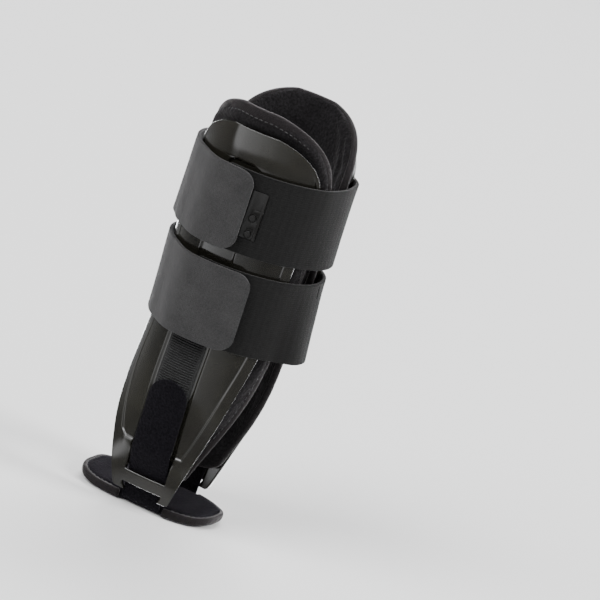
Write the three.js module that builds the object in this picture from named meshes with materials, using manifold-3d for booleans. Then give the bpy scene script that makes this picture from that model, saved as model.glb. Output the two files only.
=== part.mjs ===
// Ankle stirrup brace: two moulded side shells with padded liners, joined under the heel by a stirrup strap
// and held round the leg by two wide hook-and-loop straps.
//
// Millimetres. +X points to the toes, -Y to the outer (lateral) side, +Y to the inner (medial) side and +Z up
// the leg. The origin is the middle of the heel pad's underside.

import * as THREE from "three";
import { mergeVertices } from "three/addons/utils/BufferGeometryUtils.js";
import Module from "manifold-3d";

const wasm = await Module();
wasm.setup();

const { degToRad, lerp, smoothstep } = THREE.MathUtils;

// ---------------------------------------------------------------- driving dimensions

const LATERAL = -1;
const MEDIAL = 1;
const FRONT = 1;
const REAR = -1;
const GAP = 0.3; // between pieces that lie on each other

// The form that everything follows is made of two half ellipses at each height. Each station is [height,
// reach from the middle plane, front half axis, rear half axis, shell's width to the front, and to the rear].
const STATIONS = [
  [9, 35.0, 72, 72.0, 18.6, 19.5],
  [22, 38.0, 66, 66.0, 21.6, 24.3],
  [40, 40.2, 60, 56.0, 26.2, 29.8],
  [64, 44.0, 54, 46.5, 32.0, 35.2],
  [88, 46.4, 51, 42.5, 36.4, 36.8],
  [116, 45.6, 50, 41.0, 40.3, 35.6],
  [172, 50.0, 50.5, 43.5, 42.8, 37.6],
  [230, 52.4, 50.5, 45.8, 43.2, 39.8],
  [256, 53.6, 50.5, 46.0, 43.2, 40.0],
];

const SHELL = { foot: 9, shoulder: 218, top: 252, wall: 2.8, rim: 7.5, rimAtTop: 3 };
const PANEL = { low: 41, fadeFrom: 224, fadeTo: 242, depth: 1, step: 1, wall: 2.2 };
const CHANNEL = {
  half: 14, halfAtTop: 11, narrowFrom: 110, narrowTo: 172,
  low: 36, high: 232, depth: 2.2, step: 1, wall: 1.8,
};
const WINDOW = { half: 13.6, low: 22.5, high: 38, corner: 1.2 };
const NOTCH = { half: 13.4, mouthHalf: 12, lobeTop: 10.5, high: 14, corner: 1.6 };

const LINER = {
  low: 22, high: 265, topCorner: 43, topPower: 2, lowCorner: 9,
  lowMargin: 3, frontMargin: 18, rearMargin: 12, marginFrom: 22, marginTo: 95,
  back: [5.6, 6.6], foam: [6.9, 12.2], face: [12.5, 13.5],
  binding: 7.5, bindingDepth: [6, 11], curl: 2.4, curlFrom: 60, curlTo: 110,
  lean: 4.5, leanFrom: 190, leanTo: 256,
};
const LINER_HOOK = { half: 12, depth: [4.3, 5.3], heights: [62, 150, 228] };

const HOOK_STRIP = { half: 12.5, low: 42, high: 121, depth: [0.5, 1.9] };
const STRAP_PATCH = { half: 10, inset: 5 };

const STRAP = { width: 51, web: 2.4, lift: 0.4, start: -8, corner: 9, tabLift: 4.6, patch: 0.8 };
// Half axes are given at a strap's lower and upper edge.
const STRAPS = [
  { name: "upper", low: 178, tabEnd: 10.3, clipEnd: 19.4, front: [51.8, 48.8], rear: [46.8, 46.4] },
  { name: "lower", low: 117, tabEnd: 24.6, clipEnd: 22.2, front: [56.2, 50.2], rear: [41.8, 44.2] },
];
// Angles round the leg where a strap is divided: 0 is the lateral side, 90 the front, 180 the medial side.
const DIVISIONS = {
  start: 52, front: [62, 118], medial: [127, 233], rear: [243, 297], root: [307, 330], tab: 338,
};
const STRAP_SIDE = 0.88; // sine of the angle beyond which a strap leaves the shell and spans the gap

const CLIP = {
  back: -4, halfHeight: 15, depth: [0.5, -2.3],
  flange: 3, flangeDepth: [0.7, -0.1], rim: 1.5, rimDepth: -3.2, rung: 2.5, rungWidth: 1.2,
};
const RIVET = {
  fromClipEnd: 4.6, heights: [-12.2, -2], shank: 1.3, hole: 1.7, head: 2.2, counterbore: 2.6,
  headDepth: [-1.3, -2.2], seatDepth: -1.0, tail: 2.1, tailDepth: [3.8, 4.7],
};

const HEEL_STRAP = {
  half: 13, thick: 2, soleHalf: 29, soleLow: 1.5,
  riser: [6.5, 15], riserDepth: [3.9, 5.7], throat: [18.8, 33.5], throatDepth: 3.3,
  tab: [36, 88.4], tabDepth: [-1.8, 0.2],
};
const HEEL_PAD = {
  toe: { length: 42, power: 2.4, rise: 2 }, heel: { length: 50, power: 3.2, rise: 3 },
  halfWidth: 31, binding: 3.5, riseFrom: 30,
  sole: [0, 1.2], foam: [1.5, 5.5], top: [5.8, 6.8], bindingHeight: [0.5, 6.3],
  strapGroove: 14, strapNotch: 28.8,
};

// ---------------------------------------------------------------- materials

const material = (color, roughness, metalness = 0) =>
  new THREE.MeshStandardMaterial({ color, roughness, metalness });

const MATERIALS = {
  shell: material(0x24231f, 0.22),
  hook: material(0x2c2c2d, 0.8),
  liner: material(0x2a2829, 0.9),
  foam: material(0x36363a, 0.95),
  binding: material(0x343233, 0.85),
  strap: material(0x464648, 0.9),
  heel: material(0x17161a, 0.95),
  clip: material(0x1b1a17, 0.4),
};

// ---------------------------------------------------------------- the form

// A smooth curve through one column of STATIONS.
function profile(column) {
  const heights = STATIONS.map((row) => row[0]);
  const values = STATIONS.map((row) => row[column]);
  const curve = new THREE.CubicInterpolant(heights, values, 1, new Float64Array(1));
  return (z) => curve.evaluate(z)[0];
}

const reach = profile(1);
const axes = { [FRONT]: profile(2), [REAR]: profile(3) };
const widths = { [FRONT]: profile(4), [REAR]: profile(5) };

// The half axis and the shell's width on the side that a sign points to.
const wayOf = (sign) => (sign < 0 ? REAR : FRONT);
const girth = (z, sign) => axes[wayOf(sign)](z);
const width = (z, sign) => widths[wayOf(sign)](z);

// A point at an angle round the form, at a height, so far in from the shell's outer surface.
function form(side, angle, z, depth) {
  const sine = Math.sin(angle);
  return [(girth(z, sine) - depth) * sine, side * (reach(z) - depth) * Math.cos(angle), z];
}

// The angle at which the form's surface is at x.
const angleAt = (x, z) => Math.asin(x / girth(z, x));

// 1 in the middle of an outline, falling to a small flat at its end, as a rounded corner does.
function rounding(pastCorner, corner, power = 2.6) {
  const flat = 1.026; // leaves a short straight edge at the very end
  const t = Math.max(0, pastCorner) / (corner * flat);
  return (1 - t ** power) ** (1 / power);
}

// ---------------------------------------------------------------- mesh and solid helpers

const range = (low, high, count) =>
  Array.from({ length: count + 1 }, (_, i) => lerp(low, high, i / count));

// Values from low to high that bunch towards high, for the rows of a rounded end.
const bunched = (low, high, count) =>
  range(0, Math.PI / 2, count).map((t) => lerp(low, high, Math.sin(t)));

function geometryFrom(positions, index) {
  const geometry = new THREE.BufferGeometry();
  geometry.setAttribute("position", new THREE.Float32BufferAttribute(positions, 3));
  geometry.setIndex(index);
  return facingOut(geometry);
}

// Turns the faces round if the mesh encloses a negative volume.
function facingOut(geometry) {
  const { position } = geometry.attributes;
  const index = geometry.index.array;
  const [a, b, c] = [new THREE.Vector3(), new THREE.Vector3(), new THREE.Vector3()];
  let volume = 0;
  for (let i = 0; i < index.length; i += 3) {
    a.fromBufferAttribute(position, index[i]);
    b.fromBufferAttribute(position, index[i + 1]);
    c.fromBufferAttribute(position, index[i + 2]);
    volume += a.dot(b.cross(c));
  }
  if (volume < 0) geometry.setIndex([...index].reverse());
  return geometry;
}

// A closed plate on a grid: point(i, j, skin) gives each corner, with skin 0 outside and 1 inside.
function plate(columns, rows, point) {
  const positions = [];
  const index = [];
  for (const skin of [0, 1])
    for (let j = 0; j < rows; j++)
      for (let i = 0; i < columns; i++) positions.push(...point(i, j, skin));
  const at = (i, j, skin) => skin * rows * columns + j * columns + i;
  const quad = (a, b, c, d) => index.push(a, b, c, a, c, d);
  for (let j = 0; j + 1 < rows; j++)
    for (let i = 0; i + 1 < columns; i++) {
      quad(at(i, j, 0), at(i + 1, j, 0), at(i + 1, j + 1, 0), at(i, j + 1, 0));
      quad(at(i, j, 1), at(i, j + 1, 1), at(i + 1, j + 1, 1), at(i + 1, j, 1));
    }
  for (let i = 0; i + 1 < columns; i++) {
    quad(at(i, 0, 0), at(i, 0, 1), at(i + 1, 0, 1), at(i + 1, 0, 0));
    quad(at(i, rows - 1, 0), at(i + 1, rows - 1, 0), at(i + 1, rows - 1, 1), at(i, rows - 1, 1));
  }
  for (let j = 0; j + 1 < rows; j++) {
    quad(at(0, j, 0), at(0, j + 1, 0), at(0, j + 1, 1), at(0, j, 1));
    quad(at(columns - 1, j, 0), at(columns - 1, j, 1), at(columns - 1, j + 1, 1), at(columns - 1, j + 1, 0));
  }
  return geometryFrom(positions, index);
}

// A closed loop of four-cornered sections.
function ring(sections) {
  const index = [];
  const corners = 4;
  sections.forEach((_, k) => {
    const next = (k + 1) % sections.length;
    for (let c = 0; c < corners; c++) {
      const d = (c + 1) % corners;
      const [a, b] = [k * corners + c, k * corners + d];
      const [e, f] = [next * corners + c, next * corners + d];
      index.push(a, b, f, a, f, e);
    }
  });
  return geometryFrom(sections.flat(2), index);
}

function solid(geometry) {
  const bare = new THREE.BufferGeometry();
  bare.setAttribute("position", geometry.getAttribute("position"));
  bare.setIndex(geometry.index);
  const merged = mergeVertices(bare, 1e-4);
  return new wasm.Manifold(
    new wasm.Mesh({
      numProp: 3,
      vertProperties: merged.attributes.position.array,
      triVerts: new Uint32Array(merged.index.array),
    }),
  );
}

function geometryOf(made) {
  const { vertProperties, triVerts } = made.getMesh();
  const geometry = new THREE.BufferGeometry();
  geometry.setAttribute("position", new THREE.BufferAttribute(vertProperties, 3));
  geometry.setIndex(new THREE.BufferAttribute(triVerts, 1));
  return geometry;
}

const without = (geometry, cutters) =>
  geometryOf(cutters.reduce((left, cutter) => left.subtract(solid(cutter)), solid(geometry)));

const joined = (geometries) => geometryOf(geometries.map(solid).reduce((a, b) => a.add(b)));

function box(x0, x1, y0, y1, z0, z1) {
  const geometry = new THREE.BoxGeometry(x1 - x0, y1 - y0, z1 - z0);
  return geometry.translate((x0 + x1) / 2, (y0 + y1) / 2, (z0 + z1) / 2);
}

// A rounded rectangle in the X-Z plane, run through one side's wall.
function wallCutter(side, half, low, high, corner) {
  const shape = new THREE.Shape();
  shape.moveTo(half, high - corner);
  shape.absarc(half - corner, high - corner, corner, 0, Math.PI / 2);
  shape.absarc(corner - half, high - corner, corner, Math.PI / 2, Math.PI);
  shape.absarc(corner - half, low + corner, corner, Math.PI, 1.5 * Math.PI);
  shape.absarc(half - corner, low + corner, corner, 1.5 * Math.PI, 2 * Math.PI);
  const through = 60;
  const options = { depth: through, bevelEnabled: false, curveSegments: 3 };
  const geometry = new THREE.ExtrudeGeometry(shape, options);
  geometry.rotateX(Math.PI / 2); // now runs from y = 0 to y = -through
  return mergeVertices(side === MEDIAL ? geometry.translate(0, through, 0) : geometry, 1e-4);
}

// A round bar along the surface's normal on the lateral side, between two depths.
function normalBar(x, z, radius, depths) {
  const angle = angleAt(x, z);
  const [from, to] = depths.map((depth) => new THREE.Vector3(...form(LATERAL, angle, z, depth)));
  const geometry = new THREE.CylinderGeometry(radius, radius, from.distanceTo(to), 10);
  const middle = from.add(to).multiplyScalar(0.5);
  return geometry.rotateZ(angle).translate(middle.x, middle.y, middle.z);
}

// A patch of the form between two x positions and two heights.
function patch(side, x, z, depths, columns = 6, rows = 6) {
  const xs = range(...x, columns);
  const zs = range(...z, rows);
  const [outer, inner] = depths;
  return plate(xs.length, zs.length, (i, j, skin) =>
    form(side, angleAt(xs[i], zs[j]), zs[j], skin ? inner : outer),
  );
}

// ---------------------------------------------------------------- shells

const shellWidth = (z, way) => width(z, way) * rounding(z - SHELL.shoulder, SHELL.top - SHELL.shoulder);

const panelDepth = (z) =>
  PANEL.depth * smoothstep(z, PANEL.low, PANEL.low + PANEL.step) *
  (1 - smoothstep(z, PANEL.fadeFrom, PANEL.fadeTo));

const channelShare = (z) =>
  smoothstep(z, CHANNEL.low, CHANNEL.low + CHANNEL.step) *
  (1 - smoothstep(z, CHANNEL.high - CHANNEL.step, CHANNEL.high));

const rimWidth = (z) => lerp(SHELL.rim, SHELL.rimAtTop, smoothstep(z, 180, SHELL.shoulder));

const channelHalf = (z) =>
  lerp(CHANNEL.half, CHANNEL.halfAtTop, smoothstep(z, CHANNEL.narrowFrom, CHANNEL.narrowTo));

// The grid columns from the shell's middle to its edge at a height, as angles: the channel's foot and head,
// the panel and the rim. Near the foot and the very top they close up.
function shellAngles(z, way) {
  const edge = Math.asin(shellWidth(z, way) / girth(z, way));
  const foot = Math.min(Math.asin(channelHalf(z) / girth(z, way)), 0.6 * edge);
  const head = Math.min(Math.asin((channelHalf(z) + CHANNEL.step) / girth(z, way)), 0.66 * edge);
  const rim = edge - Math.min(rimWidth(z) / girth(z, way), 0.6 * (edge - head));
  const panel = rim - Math.min(PANEL.step / girth(z, way), 0.1 * (edge - head));
  return [0, foot / 2, foot, head, lerp(head, panel, 0.35), lerp(head, panel, 0.7), panel, rim, edge];
}

function shellSkin(side, angle, column, z, skin) {
  const inChannel = column <= 2 ? channelShare(z) : 0;
  const inPanel = column <= 6 ? panelDepth(z) : 0;
  const outer = Math.max(inPanel, CHANNEL.depth * inChannel);
  const inner = lerp(
    lerp(SHELL.wall, PANEL.depth + PANEL.wall, inPanel / PANEL.depth),
    CHANNEL.depth + CHANNEL.wall,
    inChannel,
  );
  return form(side, angle, z, skin ? inner : outer);
}

function shellGeometry(side) {
  const zs = [
    ...range(SHELL.foot, CHANNEL.low, 5),
    CHANNEL.low + CHANNEL.step,
    PANEL.low,
    PANEL.low + PANEL.step,
    ...range(50, SHELL.shoulder, 14),
    CHANNEL.high - CHANNEL.step,
    ...bunched(CHANNEL.high, SHELL.top, 5),
  ];
  const front = zs.map((z) => shellAngles(z, FRONT));
  const rear = zs.map((z) => shellAngles(z, REAR));
  const last = front[0].length - 1;
  const whole = plate(2 * last + 1, zs.length, (i, j, skin) => {
    const column = Math.abs(i - last);
    const angle = i < last ? -rear[j][column] : front[j][column];
    return shellSkin(side, angle, column, zs[j], skin);
  });
  return without(whole, [
    wallCutter(side, WINDOW.half, WINDOW.low, WINDOW.high, WINDOW.corner),
    wallCutter(side, NOTCH.half, NOTCH.lobeTop - NOTCH.corner, NOTCH.high, NOTCH.corner),
    wallCutter(side, NOTCH.mouthHalf, SHELL.foot - 4, NOTCH.high - NOTCH.corner, NOTCH.corner),
  ]);
}

const rivetPlaces = STRAPS.flatMap((strap) =>
  RIVET.heights.map((height, k) => ({
    name: `${strap.name}_clip_rivet_${k + 1}`,
    x: strap.clipEnd - RIVET.fromClipEnd,
    z: strap.low + STRAP.width / 2 + height,
  })),
);

function lateralShellGeometry() {
  const through = [CLIP.rimDepth, CHANNEL.depth + CHANNEL.wall + 2];
  return without(
    shellGeometry(LATERAL),
    rivetPlaces.map(({ x, z }) => normalBar(x, z, RIVET.hole, through)),
  );
}

// ---------------------------------------------------------------- liners

// The angle of a liner's middle line, which leans back towards the top.
const linerMiddle = (z) => -LINER.lean * smoothstep(z, LINER.leanFrom, LINER.leanTo) / girth(z, REAR);

// A liner's outline, drawn in by some distance: rows of [height, front angle, rear angle] from bottom to top.
function linerOutline(inset) {
  const low = LINER.low + inset;
  const high = LINER.high - inset;
  const topCorner = LINER.topCorner - inset;
  const zs = [
    ...bunched(0, LINER.lowCorner, 3).map((t) => low + LINER.lowCorner - t).reverse(),
    ...range(low + LINER.lowCorner, high - topCorner, 8).slice(1, -1),
    ...bunched(high - topCorner, high, 6),
  ];
  return zs.map((z) => {
    const top = rounding(z - (high - topCorner), topCorner, LINER.topPower);
    const bottom = rounding(low + LINER.lowCorner - z, LINER.lowCorner);
    const edge = (way, fullMargin) => {
      const margin = lerp(LINER.lowMargin, fullMargin, smoothstep(z, LINER.marginFrom, LINER.marginTo));
      const shell = Math.asin(width(z, way) / girth(z, way));
      return linerMiddle(z) + way * (shell + (margin - inset) / girth(z, way)) * top * bottom;
    };
    return [z, edge(FRONT, LINER.frontMargin), edge(REAR, LINER.rearMargin)];
  });
}

function linerLayer(side, [outer, inner]) {
  const outline = linerOutline(LINER.binding + 2 * GAP);
  const across = range(-1, 1, 8);
  return plate(across.length, outline.length, (i, j, skin) => {
    const [z, front, rear] = outline[j];
    const middle = linerMiddle(z);
    const angle = lerp(middle, across[i] < 0 ? rear : front, Math.abs(across[i]));
    return form(side, angle, z, skin ? inner : outer);
  });
}

// Beside the leg the edge tape curls outwards past the shell's edges.
function linerBinding(side) {
  const outside = linerOutline(0);
  const inside = linerOutline(LINER.binding);
  const [outer, inner] = LINER.bindingDepth;
  const corner = (outline, k, way, depth) => {
    const z = outline[k][0];
    const curl = LINER.curl * smoothstep(z, LINER.curlFrom, LINER.curlTo);
    return form(side, outline[k][way === FRONT ? 1 : 2], z, depth - curl);
  };
  const section = (way, k) => [
    corner(outside, k, way, outer), corner(outside, k, way, inner),
    corner(inside, k, way, inner), corner(inside, k, way, outer),
  ];
  const up = outside.map((_, k) => section(FRONT, k));
  const down = outside.map((_, k) => section(REAR, k)).reverse();
  return ring([...up, ...down]);
}

// ---------------------------------------------------------------- leg straps

// A point on a strap's path round both shells, standing off the form by some distance.
function strapPoint(strap, angle, z, lift) {
  const sine = Math.sin(angle);
  const up = (z - strap.low) / STRAP.width;
  const span = lerp(...(sine > 0 ? strap.front : strap.rear), up);
  const halfAxis = lerp(girth(z, sine), span, smoothstep(Math.abs(sine), STRAP_SIDE, 1));
  return [(halfAxis + lift) * sine, -(reach(z) + lift) * Math.cos(angle), z];
}

// A stretch of strap through some angles. trim(angle) is what is taken off both edges there.
function strapStretch(strap, angles, lift, thick, trim = () => 0) {
  const rows = range(0, 1, 2);
  return plate(angles.length, rows.length, (i, j, skin) => {
    const cut = trim(angles[i]);
    const z = lerp(strap.low + cut, strap.low + STRAP.width - cut, rows[j]);
    return strapPoint(strap, angles[i], z, lift(angles[i]) + (skin ? 0 : thick));
  });
}

const between = ([from, to], columns) => range(degToRad(from), degToRad(to), columns);

const onShell = () => STRAP.lift;

// The tab climbs over the start of its own strap as it comes round.
const overStart = (angle) => {
  const past = angle - 2 * Math.PI;
  return lerp(STRAP.lift, STRAP.tabLift, smoothstep(past, degToRad(-44), degToRad(-14)));
};

function clipOpening(strap) {
  const middle = strap.low + STRAP.width / 2;
  const half = CLIP.halfHeight + GAP;
  const x = [STRAP.start - 4, strap.clipEnd + GAP];
  return patch(LATERAL, x, [middle - half, middle + half], [-8, 4], 3, 1);
}

function strapStart(strap) {
  const from = angleAt(STRAP.start, strap.low);
  const angles = range(from, degToRad(DIVISIONS.start), 9);
  return without(strapStretch(strap, angles, onShell, STRAP.web), [clipOpening(strap)]);
}

const tabEndAngle = (strap) => 2 * Math.PI + angleAt(strap.tabEnd, strap.low + STRAP.width / 2);

function strapTab(strap) {
  const end = tabEndAngle(strap);
  const shortening = (angle) => {
    const past = STRAP.corner - (end - angle) * girth(strap.low, FRONT);
    return past > 0 ? STRAP.corner - Math.sqrt(STRAP.corner ** 2 - past ** 2) : 0;
  };
  const cornerStart = end - STRAP.corner / girth(strap.low, FRONT);
  const body = range(degToRad(DIVISIONS.tab), cornerStart, 6);
  const tip = bunched(cornerStart, end, 4).slice(1);
  return strapStretch(strap, [...body, ...tip], overStart, STRAP.web, shortening);
}

function strapTabPatch(strap) {
  const inset = 4;
  const from = 2 * Math.PI + degToRad(-11);
  const to = tabEndAngle(strap) - inset / girth(strap.low, FRONT);
  const lift = () => STRAP.tabLift - GAP - STRAP.patch;
  return strapStretch(strap, range(from, to, 6), lift, STRAP.patch, () => inset + 1);
}

// ---------------------------------------------------------------- strap clips

function clipGeometry(strap) {
  const end = strap.clipEnd;
  const middle = strap.low + STRAP.width / 2;
  const heights = (extra) => [middle - CLIP.halfHeight - extra, middle + CLIP.halfHeight + extra];
  const rung = [middle + CLIP.rung, middle + CLIP.rung + CLIP.rungWidth];
  const block = (x, z, [inner, outer], columns) => patch(LATERAL, x, z, [outer, inner], columns, 1);
  const whole = joined([
    block([CLIP.back, end + CLIP.flange], heights(CLIP.flange), CLIP.flangeDepth, 4),
    block([CLIP.back, end], heights(0), CLIP.depth, 4),
    block([end - CLIP.rim, end], heights(0), [0, CLIP.rimDepth], 1),
    block([end - CLIP.rim * 3, end], rung, [0, CLIP.rimDepth], 1),
  ]);
  const x = end - RIVET.fromClipEnd;
  const cuts = RIVET.heights.flatMap((height) => [
    normalBar(x, middle + height, RIVET.hole, [CLIP.rimDepth, CHANNEL.depth]),
    normalBar(x, middle + height, RIVET.counterbore, [RIVET.seatDepth, CLIP.rimDepth - 1]),
  ]);
  return without(whole, cuts);
}

function rivetGeometry(x, z) {
  return joined([
    normalBar(x, z, RIVET.shank, [RIVET.headDepth[1], RIVET.tailDepth[1]]),
    normalBar(x, z, RIVET.head, RIVET.headDepth),
    normalBar(x, z, RIVET.tail, RIVET.tailDepth),
  ]);
}

// ---------------------------------------------------------------- stirrup strap and heel pad

function heelTab(side) {
  const [low, high] = HEEL_STRAP.tab;
  const { half } = HEEL_STRAP;
  const zs = [...range(low, high - half, 7), ...bunched(high - half, high - 0.4, 5).slice(1)];
  const across = range(-1, 1, 6);
  const [outer, inner] = HEEL_STRAP.tabDepth;
  return plate(across.length, zs.length, (i, j, skin) => {
    const past = Math.max(0, zs[j] - (high - half));
    const x = across[i] * Math.sqrt(half ** 2 - past ** 2);
    return form(side, angleAt(x, zs[j]), zs[j], skin ? inner : outer);
  });
}

// The part that passes behind the shell's bar and out through its window.
function heelThroat(side) {
  const [low, high] = HEEL_STRAP.throat;
  const zs = [low, WINDOW.low + 1, ...range(WINDOW.low + 1, high, 5).slice(1)];
  const across = range(-HEEL_STRAP.half, HEEL_STRAP.half, 4);
  return plate(across.length, zs.length, (i, j, skin) => {
    const out = smoothstep(zs[j], WINDOW.low + 1, HEEL_STRAP.tab[0]);
    const depth = lerp(HEEL_STRAP.throatDepth, HEEL_STRAP.tabDepth[0], out);
    return form(side, angleAt(across[i], zs[j]), zs[j], depth + skin * HEEL_STRAP.thick);
  });
}

function heelRiser(side) {
  const zs = range(...HEEL_STRAP.riser, 2);
  const half = HEEL_STRAP.half - GAP;
  const across = range(-half, half, 4);
  return plate(across.length, zs.length, (i, j, skin) =>
    form(side, angleAt(across[i], zs[j]), zs[j], HEEL_STRAP.riserDepth[skin]),
  );
}

// The pad's ends turn up a little.
function rise(x) {
  const end = x < 0 ? HEEL_PAD.heel : HEEL_PAD.toe;
  const past = Math.max(0, Math.abs(x) - HEEL_PAD.riseFrom);
  return end.rise * (past / (end.length - HEEL_PAD.riseFrom)) ** 2;
}

// Half of the pad's outline from heel end to toe end: rows of [x, half width], drawn in by some distance.
function padOutline(inset) {
  const half = HEEL_PAD.halfWidth - inset;
  const end = (sign, { length, power }) =>
    bunched(0, 0.995, 9).map((share) => [
      sign * share * (length - inset),
      half * (1 - share ** power) ** (1 / power),
    ]);
  return [...end(-1, HEEL_PAD.heel).slice(1).reverse(), ...end(1, HEEL_PAD.toe)];
}

function padLayer([low, high]) {
  const outline = padOutline(HEEL_PAD.binding + GAP);
  const across = range(-1, 1, 4);
  return plate(across.length, outline.length, (i, j, skin) => {
    const [x, half] = outline[j];
    return [x, across[i] * half, (skin ? low : high) + rise(x)];
  });
}

// The strap rises past the pad in a notch on each side.
const strapNotches = () =>
  [LATERAL, MEDIAL].map((side) => {
    const [a, b] = [side * HEEL_PAD.strapNotch, side * 40].sort((p, q) => p - q);
    return box(-HEEL_PAD.strapGroove, HEEL_PAD.strapGroove, a, b, -1, 12);
  });

function padFoam() {
  const groove = box(
    -HEEL_PAD.strapGroove, HEEL_PAD.strapGroove, -40, 40,
    -1, HEEL_STRAP.soleLow + HEEL_STRAP.thick + GAP,
  );
  return without(padLayer(HEEL_PAD.foam), [groove, ...strapNotches()]);
}

// The edge tape is two lengths, front and rear, which end where the strap leaves the pad.
function padBinding(end) {
  const outside = padOutline(0);
  const inside = padOutline(HEEL_PAD.binding);
  const [low, high] = HEEL_PAD.bindingHeight;
  const section = (sign, k) => [
    [outside[k][0], sign * outside[k][1], low + rise(outside[k][0])],
    [outside[k][0], sign * outside[k][1], high + rise(outside[k][0])],
    [inside[k][0], sign * inside[k][1], high + rise(inside[k][0])],
    [inside[k][0], sign * inside[k][1], low + rise(inside[k][0])],
  ];
  const up = outside.map((_, k) => section(1, k));
  const down = outside.map((_, k) => section(-1, k)).reverse();
  const limit = end * (HEEL_PAD.strapGroove + 1);
  const [a, b] = [limit, -end * 60].sort((p, q) => p - q);
  return without(ring([...up, ...down]), [box(a, b, -60, 60, -2, 20)]);
}

// ---------------------------------------------------------------- assembly

const brace = new THREE.Group();

function add(name, geometry, slot) {
  const mesh = new THREE.Mesh(geometry, MATERIALS[slot]);
  mesh.name = name;
  brace.add(mesh);
}

add("heel_pad_sole", padLayer(HEEL_PAD.sole), "heel");
add("heel_pad_foam", padFoam(), "foam");
add("heel_pad_top", without(padLayer(HEEL_PAD.top), strapNotches()), "heel");
add("heel_pad_front_binding", padBinding(1), "binding");
add("heel_pad_rear_binding", padBinding(-1), "binding");
add(
  "heel_strap_sole",
  box(
    -HEEL_STRAP.half, HEEL_STRAP.half, -HEEL_STRAP.soleHalf, HEEL_STRAP.soleHalf,
    HEEL_STRAP.soleLow, HEEL_STRAP.soleLow + HEEL_STRAP.thick,
  ),
  "heel",
);

for (const [side, word] of [[LATERAL, "lateral"], [MEDIAL, "medial"]]) {
  add(`${word}_shell`, side === LATERAL ? lateralShellGeometry() : shellGeometry(side), "shell");
  const { half, low, high, depth } = HOOK_STRIP;
  add(`${word}_hook_strip`, patch(side, [-half, half], [low, high], depth, 4, 10), "hook");
  add(`${word}_liner_back`, linerLayer(side, LINER.back), "liner");
  add(`${word}_liner_foam`, linerLayer(side, LINER.foam), "foam");
  add(`${word}_liner_face`, linerLayer(side, LINER.face), "liner");
  add(`${word}_liner_binding`, linerBinding(side), "binding");
  LINER_HOOK.heights.forEach((z, k) => {
    const reachOut = LINER_HOOK.half;
    const spot = patch(side, [-reachOut, reachOut], [z - reachOut, z + reachOut], LINER_HOOK.depth, 4, 3);
    add(`${word}_liner_hook_${k + 1}`, spot, "hook");
  });
  add(`${word}_heel_strap_riser`, heelRiser(side), "heel");
  add(`${word}_heel_strap_throat`, heelThroat(side), "heel");
  add(`${word}_heel_strap_tab`, heelTab(side), "heel");
}

for (const strap of STRAPS) {
  const { name, low } = strap;
  const { half, inset } = STRAP_PATCH;
  const heights = [low + inset, low + STRAP.width - inset];
  const stretch = (part, columns, lift = onShell) =>
    strapStretch(strap, between(DIVISIONS[part], columns), lift, STRAP.web);
  add(`medial_${name}_strap_patch`, patch(MEDIAL, [-half, half], heights, HOOK_STRIP.depth, 4, 4), "hook");
  add(`${name}_strap_start`, strapStart(strap), "strap");
  add(`${name}_strap_front`, stretch("front", 8), "strap");
  add(`${name}_strap_medial`, stretch("medial", 14), "strap");
  add(`${name}_strap_rear`, stretch("rear", 8), "strap");
  add(`${name}_strap_root`, stretch("root", 4, overStart), "strap");
  add(`${name}_strap_tab`, strapTab(strap), "strap");
  add(`${name}_strap_tab_hook`, strapTabPatch(strap), "hook");
  add(`${name}_strap_clip`, clipGeometry(strap), "clip");
}

for (const { name, x, z } of rivetPlaces) add(name, rivetGeometry(x, z), "clip");

export default brace;
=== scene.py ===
"""The looks of an ankle stirrup brace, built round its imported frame.

The tables below are in millimetres and degrees, like the frame's design; meshes are in metres.
+X points to the toes, -Y to the lateral side, +Z up the leg.
"""

import math

import bmesh
import bpy
import numpy as np
from mathutils import Matrix, Vector


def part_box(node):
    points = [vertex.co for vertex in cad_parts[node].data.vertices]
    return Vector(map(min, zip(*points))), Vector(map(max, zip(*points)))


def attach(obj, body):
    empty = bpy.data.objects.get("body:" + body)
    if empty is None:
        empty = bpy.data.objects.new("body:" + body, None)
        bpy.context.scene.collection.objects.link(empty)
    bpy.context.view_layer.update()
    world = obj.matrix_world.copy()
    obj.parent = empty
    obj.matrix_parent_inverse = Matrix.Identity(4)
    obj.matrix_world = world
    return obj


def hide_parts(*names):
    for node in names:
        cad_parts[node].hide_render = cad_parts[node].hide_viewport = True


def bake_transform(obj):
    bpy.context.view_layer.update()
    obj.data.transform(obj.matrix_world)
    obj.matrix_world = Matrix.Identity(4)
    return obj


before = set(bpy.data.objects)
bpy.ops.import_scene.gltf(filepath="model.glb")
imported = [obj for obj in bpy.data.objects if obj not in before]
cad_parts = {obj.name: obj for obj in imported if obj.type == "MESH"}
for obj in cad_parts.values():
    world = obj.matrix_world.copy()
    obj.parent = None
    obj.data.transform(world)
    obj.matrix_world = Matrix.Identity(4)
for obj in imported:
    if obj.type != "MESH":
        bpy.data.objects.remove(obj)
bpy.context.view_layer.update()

MM = 0.001
LATERAL, MEDIAL = -1, 1
SIDES = {"lateral": LATERAL, "medial": MEDIAL}

# Height, reach from the middle plane, front half axis, rear half axis, shell's width to the front and rear.
STATIONS = np.array([
    [9, 35.0, 72, 72.0, 18.6, 19.5],
    [22, 38.0, 66, 66.0, 21.6, 24.3],
    [40, 40.2, 60, 56.0, 26.2, 29.8],
    [64, 44.0, 54, 46.5, 32.0, 35.2],
    [88, 46.4, 51, 42.5, 36.4, 36.8],
    [116, 45.6, 50, 41.0, 40.3, 35.6],
    [172, 50.0, 50.5, 43.5, 42.8, 37.6],
    [230, 52.4, 50.5, 45.8, 43.2, 39.8],
    [256, 53.6, 50.5, 46.0, 43.2, 40.0],
])


# ---------------------------------------------------------------- the form

def smoothstep(x, low, high):
    t = np.clip((np.asarray(x, float) - low) / (high - low), 0, 1)
    return t * t * (3 - 2 * t)


def mix(a, b, t):
    return a + (b - a) * t


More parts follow.
